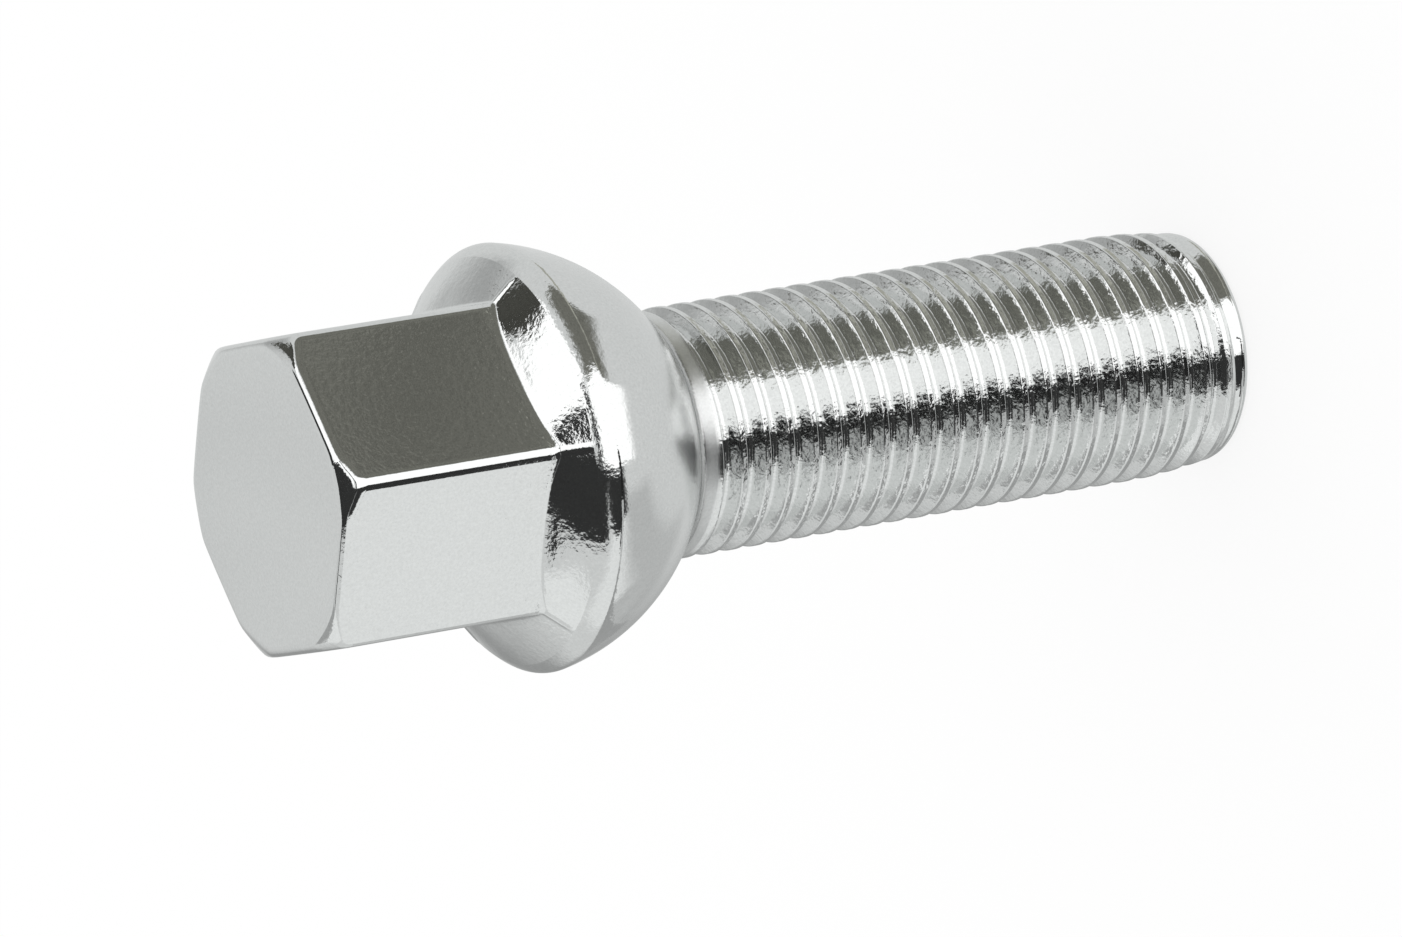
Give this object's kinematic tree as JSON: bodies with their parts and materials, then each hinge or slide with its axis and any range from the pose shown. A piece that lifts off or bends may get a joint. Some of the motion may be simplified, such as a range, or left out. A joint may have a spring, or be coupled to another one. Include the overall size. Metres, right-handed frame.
{
  "type": "wheel bolt",
  "caption": "Chrome-plated wheel bolt with a hexagon head, a flared round collar, a ball seat, a short plain neck and a fine metric thread with a rounded-in flat tip.",
  "frame": {"origin": "centre of the flat tip, on the surface that the bolt stands on", "axes": "+Z along the bolt's axis from the tip to the head's end face, +X through a corner of the hexagon"},
  "size_m": [0.0237, 0.0236, 0.0588],
  "materials": {
    "chrome_plating": "bright chrome plating over forged and thread-rolled steel"
  },
  "bodies": {
    "root": {"wheel_bolt": "chrome_plating"}
  },
  "joints": []
}
